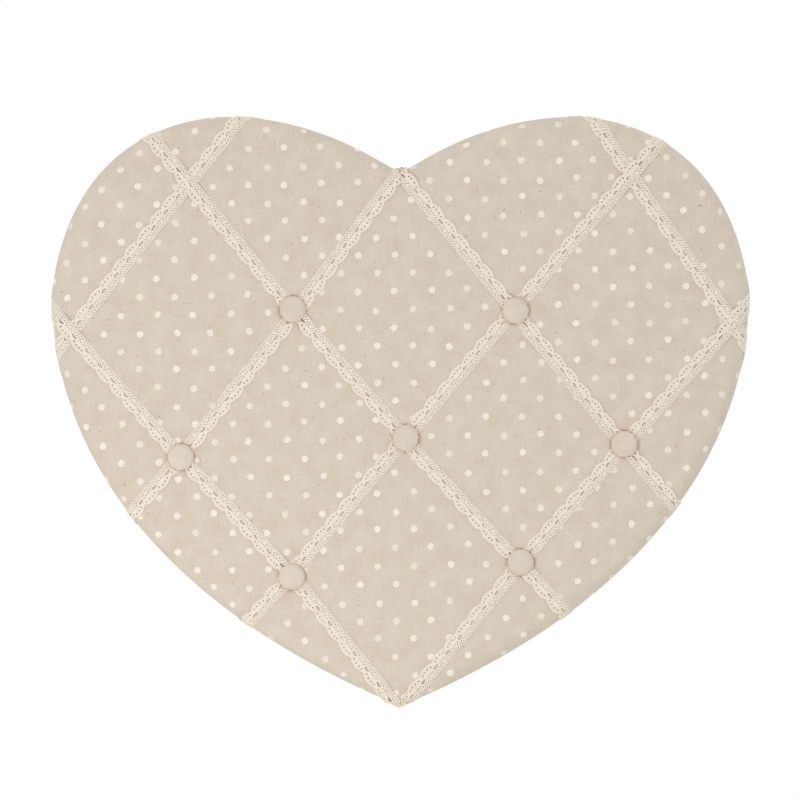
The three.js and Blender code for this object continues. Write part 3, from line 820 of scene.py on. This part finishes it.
def lace_guide(points, drifts, phase, repeat, lower):
    """A grid along the ribbon's underside at even lengths, lifted over the ribbons that are laid already."""
    line, along = lace_line(points, drifts)
    offsets = np.linspace(-lace_straight, scallop_peak, lace_columns)
    edges = [lace_edge(line, along, offset) for offset in offsets]
    low = max(lengths[0] for _, lengths in edges)
    high = min(lengths[-1] for _, lengths in edges)
    pulled = repeat * mm
    start = (math.ceil(low / pulled - phase) + phase) * pulled
    repeats = int((high - start) / pulled)
    rows = np.linspace(start, start + repeats * pulled, repeats * rows_per_scallop + 1)
    grid = np.stack([resample(path, lengths, rows) for path, lengths in edges], axis=1)
    normals = np.cross(np.gradient(grid, axis=0), np.gradient(grid, axis=1))
    normals /= np.linalg.norm(normals, axis=2, keepdims=True)
    lift = np.zeros(len(rows))
    for row, column in np.ndindex(len(rows), lace_columns):
        out = Vector(normals[row, column])
        for top in lower:
            distance = top.ray_cast(Vector(grid[row, column]) + out * lift_reach, -out, lift_reach)[3]
            if distance is not None:
                lift[row] = max(lift[row], lift_reach - distance + lace_gap)
    spread = [np.roll(lift, shift) for shift in range(-lift_rows, lift_rows + 1)]
    lift = smooth(np.max(spread, axis=0), lift_blend)
    grid += normals * lift[:, None, None]
    starts = [row * lace_columns + column for row, column in np.ndindex(len(rows) - 1, lace_columns - 1)]
    quads = [(a, a + lace_columns, a + lace_columns + 1, a + 1) for a in starts]
    top = (grid + normals * lace_thickness).reshape(-1, 3)
    lower.append(BVHTree.FromPolygons([Vector(point) for point in top], quads))
    return grid.reshape(-1, 3), quads, repeats


lace_inputs = {"Motif": "Geometry", "Guide": "Object", "Finish": "Material", "Repeats": "Int",
               "Pitch": "Float", "Row step": "Float", "Columns": "Int", "Column step": "Float",
               "Straight edge": "Float", "Wander": "Float", "Seed": "Float"}


def lace_nodes():
    """Repeats the motif into a strip and bends the strip along a guide grid."""
    tree = bpy.data.node_groups.new("lace_strip", "GeometryNodeTree")
    for name, kind in lace_inputs.items():
        tree.interface.new_socket(name, in_out="INPUT", socket_type=f"NodeSocket{kind}")
    tree.interface.new_socket("Lace", in_out="OUTPUT", socket_type="NodeSocketGeometry")
    given = add_node(tree, "NodeGroupInput").outputs
    step = add_node(tree, "ShaderNodeCombineXYZ", {0: given["Pitch"]}).outputs[0]
    line = add_node(tree, "GeometryNodeMeshLine", {"Count": given["Repeats"], "Offset": step}, mode="OFFSET")
    inputs = {"Points": line.outputs[0], "Instance": given["Motif"]}
    copies = add_node(tree, "GeometryNodeInstanceOnPoints", inputs).outputs[0]
    strip = add_node(tree, "GeometryNodeRealizeInstances", {0: copies}).outputs[0]
    inputs = {"Geometry": strip, "Distance": weld_distance}
    strip = add_node(tree, "GeometryNodeMergeByDistance", inputs).outputs[0]
    place = add_node(tree, "GeometryNodeInputPosition").outputs[0]
    inputs = {"Geometry": strip, "Name": "strip", "Value": place}
    strip = add_node(tree, "GeometryNodeStoreNamedAttribute", inputs,
                     data_type="FLOAT_VECTOR", domain="POINT").outputs[0]
    inputs = {"Vector": place, "W": given["Seed"], "Scale": wanders_per_metre}
    noise = add_node(tree, "ShaderNodeTexNoise", inputs, noise_dimensions="4D").outputs["Color"]
    drift = vectors(tree, "SUBTRACT", noise, (0.5, 0.5, 0.5))
    drifted = vectors(tree, "ADD", place, vectors(tree, "SCALE", drift, given["Wander"]))
    along, across, _ = add_node(tree, "ShaderNodeSeparateXYZ", {0: drifted}).outputs
    height = add_node(tree, "ShaderNodeSeparateXYZ", {0: place}).outputs[2]
    whole_length = calc(tree, "MULTIPLY", given["Repeats"], given["Pitch"])
    last_row = calc(tree, "DIVIDE", whole_length, given["Row step"])
    last_column = calc(tree, "SUBTRACT", given["Columns"], 1.0)
    row = calc(tree, "DIVIDE", along, given["Row step"])
    column = calc(tree, "DIVIDE", calc(tree, "ADD", across, given["Straight edge"]), given["Column step"])

    def cell_and_share(value, last):
        """The grid cell below a value and how far into the cell it lies, kept inside the grid."""
        value = calc(tree, "MAXIMUM", calc(tree, "MINIMUM", value, last), 0.0)
        cell = calc(tree, "MINIMUM", calc(tree, "FLOOR", value, 0.0), calc(tree, "SUBTRACT", last, 1.0))
        return cell, calc(tree, "SUBTRACT", value, cell)

    row_cell, row_share = cell_and_share(row, last_row)
    column_cell, column_share = cell_and_share(column, last_column)
    corner = calc(tree, "ADD", calc(tree, "MULTIPLY", row_cell, given["Columns"]), column_cell)
    guide = add_node(tree, "GeometryNodeObjectInfo", {"Object": given["Guide"]}).outputs["Geometry"]

    def between(share, pair):
        inputs = {0: share, 4: pair[0], 5: pair[1]}
        return add_node(tree, "ShaderNodeMix", inputs, data_type="VECTOR").outputs[1]

    def on_guide(field):
        """A field of the guide between the four corners of a cell."""
        ends = []
        for first in (corner, calc(tree, "ADD", corner, given["Columns"])):
            values = []
            for index in (first, calc(tree, "ADD", first, 1.0)):
                whole = add_node(tree, "FunctionNodeFloatToInt", {0: index}, rounding_mode="ROUND").outputs[0]
                inputs = {"Geometry": guide, "Value": field, "Index": whole}
                taken = add_node(tree, "GeometryNodeSampleIndex", inputs,
                                 data_type="FLOAT_VECTOR", domain="POINT")
                values.append(taken.outputs[0])
            ends.append(between(column_share, values))
        return between(row_share, ends)

    out = add_node(tree, "GeometryNodeInputNormal").outputs[0]
    rise = vectors(tree, "SCALE", on_guide(out), height)
    spot = vectors(tree, "ADD", on_guide(place), rise)
    laid = add_node(tree, "GeometryNodeSetPosition", {"Geometry": strip, "Position": spot}).outputs[0]
    laid = add_node(tree, "GeometryNodeRealizeInstances", {0: laid}).outputs[0]
    inputs = {"Geometry": laid, "Material": given["Finish"]}
    laid = add_node(tree, "GeometryNodeSetMaterial", inputs).outputs[0]
    add_node(tree, "NodeGroupOutput", {0: laid})
    return tree


def fill_holes(work):
    bmesh.ops.holes_fill(work, edges=[edge for edge in work.edges if edge.is_boundary], sides=0)


def close_lace(piece, keeps):
    """Trims a ribbon at the middle of the board where it meets its twin and closes its cut ends."""
    work = bmesh.new()
    work.from_mesh(piece.data)
    fill_holes(work)
    if keeps:
        everything = work.verts[:] + work.edges[:] + work.faces[:]
        bmesh.ops.bisect_plane(work, geom=everything, dist=1e-8, plane_co=(keeps * mitre_gap, 0, 0),
                               plane_no=(-keeps, 0, 0), clear_outer=True)
        fill_holes(work)
    bmesh.ops.recalc_face_normals(work, faces=work.faces)
    work.to_mesh(piece.data)
    work.free()
    piece.data.set_sharp_from_angle(angle=math.radians(crease_turn))


def lay_lace(node_name, points, drifts, phase, repeat, keeps, seed):
    """One ribbon: the motif repeated along its guide, trimmed and put in place of its part."""
    grid, quads, repeats = lace_guide(points, drifts, phase, repeat, laid_ribbons)
    guide = make_object("guide", grid, quads, cotton)
    ribbon = make_object(f"{node_name}_edging", *lace_motif(), cotton)
    sizes = {"Guide": guide, "Finish": cotton, "Repeats": repeats, "Pitch": lace_pitch,
             "Row step": lace_pitch / rows_per_scallop, "Columns": lace_columns,
             "Column step": lace_width / (lace_columns - 1), "Straight edge": lace_straight,
             "Wander": lace_wander, "Seed": float(seed)}
    layer = ribbon.modifiers.new("lace", "NODES")
    layer.node_group = lace_group
    for item in lace_group.interface.items_tree:
        if item.name in sizes:
            layer[item.identifier] = sizes[item.name]
    apply_modifiers(ribbon)
    bpy.data.objects.remove(guide)
    close_lace(ribbon, keeps)
    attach(ribbon, "board")
    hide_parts(node_name)


cotton, tree, shader = new_finish("cotton_lace", 0.95)
threads_at = add_node(tree, "ShaderNodeAttribute", attribute_name="strip").outputs["Vector"]
twist = grain(tree, threads_at, twist_grain, 3.0)
knotting = grain(tree, threads_at, knot_grain, 2.0)
tone = weighted(tree, (twist, 0.6), (knotting, 0.4))
cream = mix_colours(tree, ramp(tree, tone, *lace_tone_range), lace_shade, lace_cream)
tree.links.new(cream, shader.inputs["Base Color"])
raise_by(tree, shader, tone, lace_relief)
shader.inputs["Specular IOR Level"].default_value = 0.2
lace_group = lace_nodes()
laid_ribbons = []
for seed, (name, run) in enumerate(lace_runs.items()):
    lay_lace(name, *run, seed)


# Covered buttons
# Seven domed buttons covered with the same linen, gathered under the rim over a tin shell. Each has a pin
# through the ribbons, the wadding and the board that draws the front in.
button_top = 5.2 * mm
button_sides = 48
# Radius and height in millimetres, from under the rim to near the middle of the dome.
button_profile = [(6.6, 0), (7.3, 0.25), (7.6, 0.9), (7.65, 1.7), (7.6, 2.7), (7.35, 3.6), (6.85, 4.25),
                  (6.1, 4.7), (5, 4.98), (3.4, 5.13), (1.7, 5.18)]
pucker_depth = 0.028
pucker_height = 3.6
pucker_counts = (5, 9, 13, 17)
button_cloth = 0.45 * mm
# The buttons' linen is painted a little lighter than the cover's linen. This is painted light that offsets
# the shade on the domes.
button_linen_pale_painted_lighter = srgb(226, 215, 200)
button_linen_dark_painted_lighter = srgb(213, 201, 184)
tin_grain = (500, 500, 500)
tin_relief = 0.02 * mm
tin_dark = srgb(150, 150, 148)
tin_pale = srgb(196, 196, 194)


def make_button(key, seed):
    base = -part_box(f"button_cap_{key}")[1][1]
    place = button_places[key]
    generator = np.random.default_rng(seed)
    angles = np.linspace(0, 2 * math.pi, button_sides, endpoint=False)
    waves = sum(generator.uniform(0.5, 1) * np.cos(count * angles + generator.uniform(0, 2 * math.pi))
                for count in pucker_counts) / 2
    rings = []
    for radius, level in button_profile:
        fade = max(0, 1 - level / pucker_height)
        reach = radius * mm * (1 + pucker_depth * fade * waves)
        rings.append(np.stack([place.x + reach * np.cos(angles), np.full(button_sides, -base - level * mm),
                               place.y + reach * np.sin(angles)], axis=1))
    vertices = np.concatenate(rings + [[(place.x, -base - button_top, place.y)]])
    faces = ring_faces(len(rings), button_sides)
    last = (len(rings) - 1) * button_sides
    faces += [(last + i, last + (i + 1) % button_sides, len(vertices) - 1) for i in range(button_sides)]
    button = make_object(f"button_{key}_linen", vertices, faces, plain_linen_painted_lighter)
    store_weave(button, vertices[:, [0, 2]])
    thicken(button, button_cloth)
    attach(button, "board")
    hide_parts(f"button_cap_{key}")


tinplate, _, shader, _ = grained_finish("tinplate", 0.4, tin_grain, 4.0, tin_dark, tin_pale, tin_relief)
shader.inputs["Metallic"].default_value = 1.0
# Plain linen for the buttons, in the lighter painted colours.
plain_linen_painted_lighter = linen_finish("plain_linen_painted_lighter", button_linen_pale_painted_lighter, button_linen_dark_painted_lighter, False)
for seed, key in enumerate(button_keys):
    make_button(key, seed)
    dress(f"button_shell_{key}", tinplate)
    dress(f"button_pin_{key}", tinplate)


# Lining
# Thin buff card cut a little smaller than the heart and glued over the hem and the ribbon ends, to finish
# the back.
pulp_grain = (1200, 1200, 1200)
pulp_relief = 0.05 * mm
cloud_grain = (30, 30, 30)
cloud_range = (0.45, 0.75)
cloud_strength = 0.2
card_dark = srgb(196, 182, 156)
card_pale = srgb(214, 202, 178)
card_cloud = srgb(184, 168, 140)
card_finish, tree, shader = new_finish("card", 0.85)
place = add_node(tree, "ShaderNodeTexCoord").outputs["Object"]
pulp = grain(tree, place, pulp_grain, 6.0)
clouds = ramp(tree, grain(tree, place, cloud_grain, 3.0), *cloud_range)
colour = mix_colours(tree, pulp, card_dark, card_pale)
colour = mix_colours(tree, calc(tree, "MULTIPLY", clouds, cloud_strength), colour, card_cloud)
tree.links.new(colour, shader.inputs["Base Color"])
raise_by(tree, shader, pulp, pulp_relief)
dress("back_lining", card_finish)


# Strap hangers
# Two nickel-plated straps, each folded round a D-ring and screwed through the lining into the board. The
# rings swing in the folds.
brush_grain = (4000, 400, 400)
brush_relief = 0.02 * mm
nickel_dark = srgb(186, 182, 172)
nickel_pale = srgb(214, 211, 203)
least_rough = 0.22
most_rough = 0.42
nickel, tree, shader, brushed = grained_finish("nickel_plate", 0.3, brush_grain, 3.0, nickel_dark,
                                               nickel_pale, brush_relief)
shine = {"Value": brushed, "To Min": least_rough, "To Max": most_rough}
tree.links.new(add_node(tree, "ShaderNodeMapRange", shine).outputs[0], shader.inputs["Roughness"])
shader.inputs["Metallic"].default_value = 1.0
for side in ("left", "right"):
    for piece in ("strap", "ring", "screw"):
        dress(f"hanger_{piece}_{side}", nickel)


# Room
# A pale floor well below the board and a white surround that gives most of the light. A large soft lamp
# stands at the upper left, a small one low on the left and a large one behind the board. The camera is
# straight in front.
floor_level = -0.45
floor_half = 4
floor_grain = (6, 6, 6)
floor_dark = srgb(238, 237, 234)
floor_pale = srgb(244, 243, 241)
surround_level = 0.89
picture_scale = 0.5747 * mm
picture_size = 800
view_across = -0.5 * picture_scale
view_up = 11.5 * picture_scale
camera_distance = 4.5
side_level = 10 * mm


def make_floor():
    material, *_ = grained_finish("pale_floor", 0.8, floor_grain, 2.0, floor_dark, floor_pale)
    sides = [(-1, -1), (1, -1), (1, 1), (-1, 1)]
    corners = [(x * floor_half, y * floor_half, floor_level) for x, y in sides]
    return make_object("floor", corners, [(0, 1, 2, 3)], material)


def set_world(strength):
    world = bpy.data.worlds.new("white_surround")
    world.use_nodes = True
    tree = world.node_tree
    path = add_node(tree, "ShaderNodeLightPath")
    seen = calc(tree, "MAXIMUM", path.outputs["Is Camera Ray"], path.outputs["Is Glossy Ray"])
    seen = calc(tree, "MAXIMUM", seen, path.outputs["Is Transmission Ray"])
    inputs = {"Value": seen, "To Min": strength, "To Max": 1.0}
    level = add_node(tree, "ShaderNodeMapRange", inputs).outputs[0]
    background = tree.nodes["Background"]
    background.inputs["Color"].default_value = (1, 1, 1, 1)
    tree.links.new(level, background.inputs["Strength"])
    bpy.context.scene.world = world


def add_light(name, place, size, power):
    """A round lamp that faces the middle of the board."""
    light = bpy.data.lights.new(name, "AREA")
    light.shape = "DISK"
    light.size = size
    light.energy = power
    lamp = bpy.data.objects.new(name, light)
    lamp.location = place
    lamp.rotation_euler = (-Vector(place)).to_track_quat("-Z", "Y").to_euler()
    lamp.visible_camera = False
    bpy.context.scene.collection.objects.link(lamp)


make_floor()
set_world(surround_level)
add_light("key", place=(-1.2, -2.3, 1.2), size=1.4, power=3.2)
add_light("fill", place=(-0.3, -0.5, -0.25), size=0.25, power=0.46)
add_light("back_light", place=(0.8, 2.2, 1.2), size=1.4, power=2.5)

camera_data = bpy.data.cameras.new("camera")
camera_data.sensor_width = 36
half_view = picture_scale * picture_size / 2
camera_data.lens = camera_data.sensor_width / 2 * (camera_distance - side_level) / half_view
camera = bpy.data.objects.new("camera", camera_data)
camera.location = (view_across, -camera_distance, view_up)
camera.rotation_euler = (math.pi / 2, 0, 0)
bpy.context.scene.collection.objects.link(camera)
bpy.context.scene.camera = camera
bpy.context.scene.view_settings.view_transform = "Standard"
